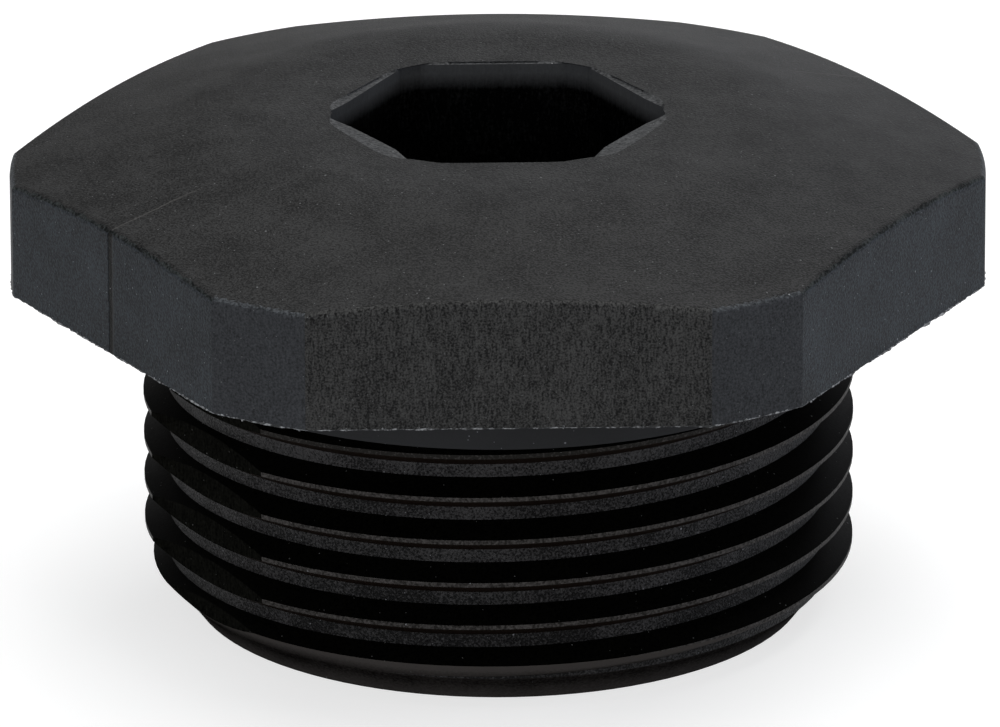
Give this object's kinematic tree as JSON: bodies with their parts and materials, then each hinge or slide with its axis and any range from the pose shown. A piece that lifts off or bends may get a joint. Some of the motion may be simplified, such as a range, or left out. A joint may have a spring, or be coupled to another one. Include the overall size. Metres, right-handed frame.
{
  "type": "blanking plug",
  "caption": "Moulded black blanking plug with a hexagon head, a hexagon key socket, a plain collar and a short coarse external thread.",
  "frame": {"origin": "on the axis, in the plane of the head's seat face, where the collar starts", "axes": "+Z along the axis from the threaded end to the head; one flat of the hexagon head faces -Y"},
  "size_m": [0.0308, 0.0282, 0.016],
  "materials": {
    "moulded_polyamide": "moulded black glass-filled polyamide, satin with a fine grain"
  },
  "bodies": {
    "root": {"plug_body": "moulded_polyamide"}
  },
  "joints": []
}
